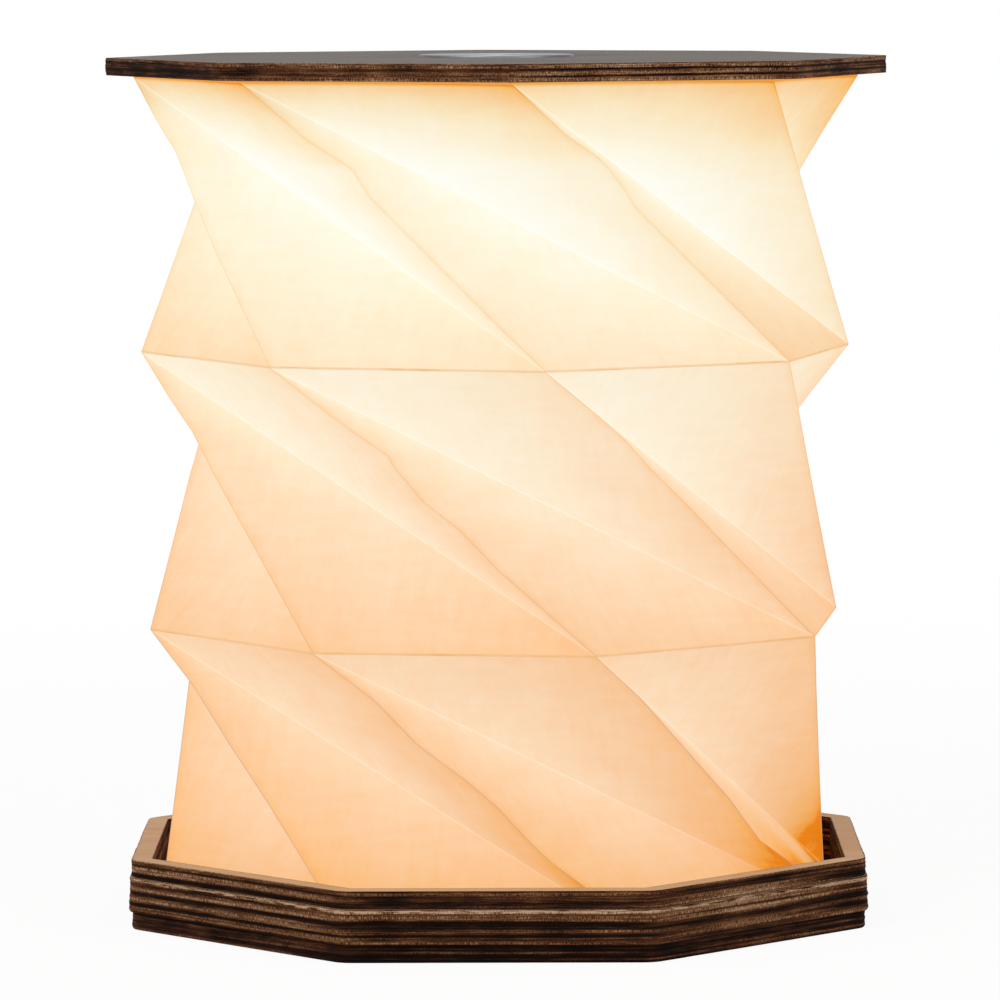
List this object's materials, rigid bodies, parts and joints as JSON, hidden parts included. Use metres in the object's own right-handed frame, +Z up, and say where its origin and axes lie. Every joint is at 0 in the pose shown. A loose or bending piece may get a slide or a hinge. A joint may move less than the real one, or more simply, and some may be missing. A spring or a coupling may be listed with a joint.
{
  "type": "folding paper table lamp",
  "caption": "Table lamp that folds flat: octagonal plywood lid and tray joined by a twisted, creased paper shade, with a round touch-switched light module in the lid.",
  "frame": {"origin": "centre of the tray's underside, on the table", "axes": "+Z up along the lamp's axis; -Y is the side seen in the picture"},
  "size_m": [0.1808, 0.1808, 0.1989],
  "materials": {
    "birch_ply_tray": "bare faces, laser-charred edges",
    "stained_ply_lid": "smooth matte grey-brown stain, charred edges",
    "shade_paper": "translucent fibrous paper, lit from inside",
    "plate_metal": "turned, satin",
    "module_plastic": "fine matte",
    "collar_plastic": "fine matte",
    "diffuser": "frosted, glowing",
    "board_green": "solder mask",
    "board_white": "white solder mask",
    "chip_black": "moulded",
    "steel": "plain",
    "foil": "laminated foil",
    "foam": "foam tape",
    "wire_red": "insulated wire",
    "led_yellow": "phosphor, glowing"
  },
  "bodies": {
    "tray": {"tray_floor": "birch_ply_tray", "tray_ring_lower": "birch_ply_tray", "tray_ring_middle": "birch_ply_tray", "tray_ring_upper": "birch_ply_tray", "shade_base_flaps": "shade_paper"},
    "lower_storey": {"shade_storey_lower": "shade_paper"},
    "lower_joint": {"shade_joint_flaps_lower": "shade_paper"},
    "middle_storey": {"shade_storey_middle": "shade_paper"},
    "upper_joint": {"shade_joint_flaps_upper": "shade_paper"},
    "upper_storey": {"shade_storey_upper": "shade_paper"},
    "lid": {"shade_top_flaps": "shade_paper", "lid_board": "stained_ply_lid", "module_collar": "collar_plastic", "collar_screws": "steel"},
    "light_module": {"touch_plate": "plate_metal", "module_housing": "module_plastic", "control_board": "board_green", "control_chips": "chip_black", "touch_spring": "steel", "charging_socket": "steel", "battery_pad": "foam", "battery_cell": "foil", "board_wires": "wire_red", "led_board": "board_white", "leds": "led_yellow", "diffuser_cap": "diffuser"}
  },
  "joints": [
    {"name": "lower_storey_drop", "type": "slide", "parent": "tray", "child": "lower_storey", "axis": [0, 0, -1], "range_m": [0, 0.051], "deforming": ["shade_storey_lower"]},
    {"name": "lower_storey_turn", "type": "hinge", "parent": "lower_storey", "child": "lower_joint", "pos_m": [0, 0, 0.0676], "axis": [0, 0, -1], "range_deg": [0, 18]},
    {"name": "middle_storey_drop", "type": "slide", "parent": "lower_joint", "child": "middle_storey", "axis": [0, 0, -1], "range_m": [0, 0.0614], "deforming": ["shade_storey_middle"]},
    {"name": "middle_storey_turn", "type": "hinge", "parent": "middle_storey", "child": "upper_joint", "pos_m": [0, 0, 0.1308], "axis": [0, 0, -1], "range_deg": [0, 18]},
    {"name": "upper_storey_drop", "type": "slide", "parent": "upper_joint", "child": "upper_storey", "axis": [0, 0, -1], "range_m": [0, 0.0616], "deforming": ["shade_storey_upper"]},
    {"name": "upper_storey_turn", "type": "hinge", "parent": "upper_storey", "child": "lid", "pos_m": [0, 0, 0.194], "axis": [0, 0, -1], "range_deg": [0, 18]},
    {"name": "module_lift", "type": "slide", "parent": "lid", "child": "light_module", "axis": [0, 0, 1], "range_m": [0, 0.017]}
  ],
  "couplings": [
    {"joint": "lower_storey_turn", "follows": "lower_storey_drop", "rad_per_m": 6.1599},
    {"joint": "middle_storey_turn", "follows": "middle_storey_drop", "rad_per_m": 5.1166},
    {"joint": "upper_storey_turn", "follows": "upper_storey_drop", "rad_per_m": 5.0999}
  ]
}
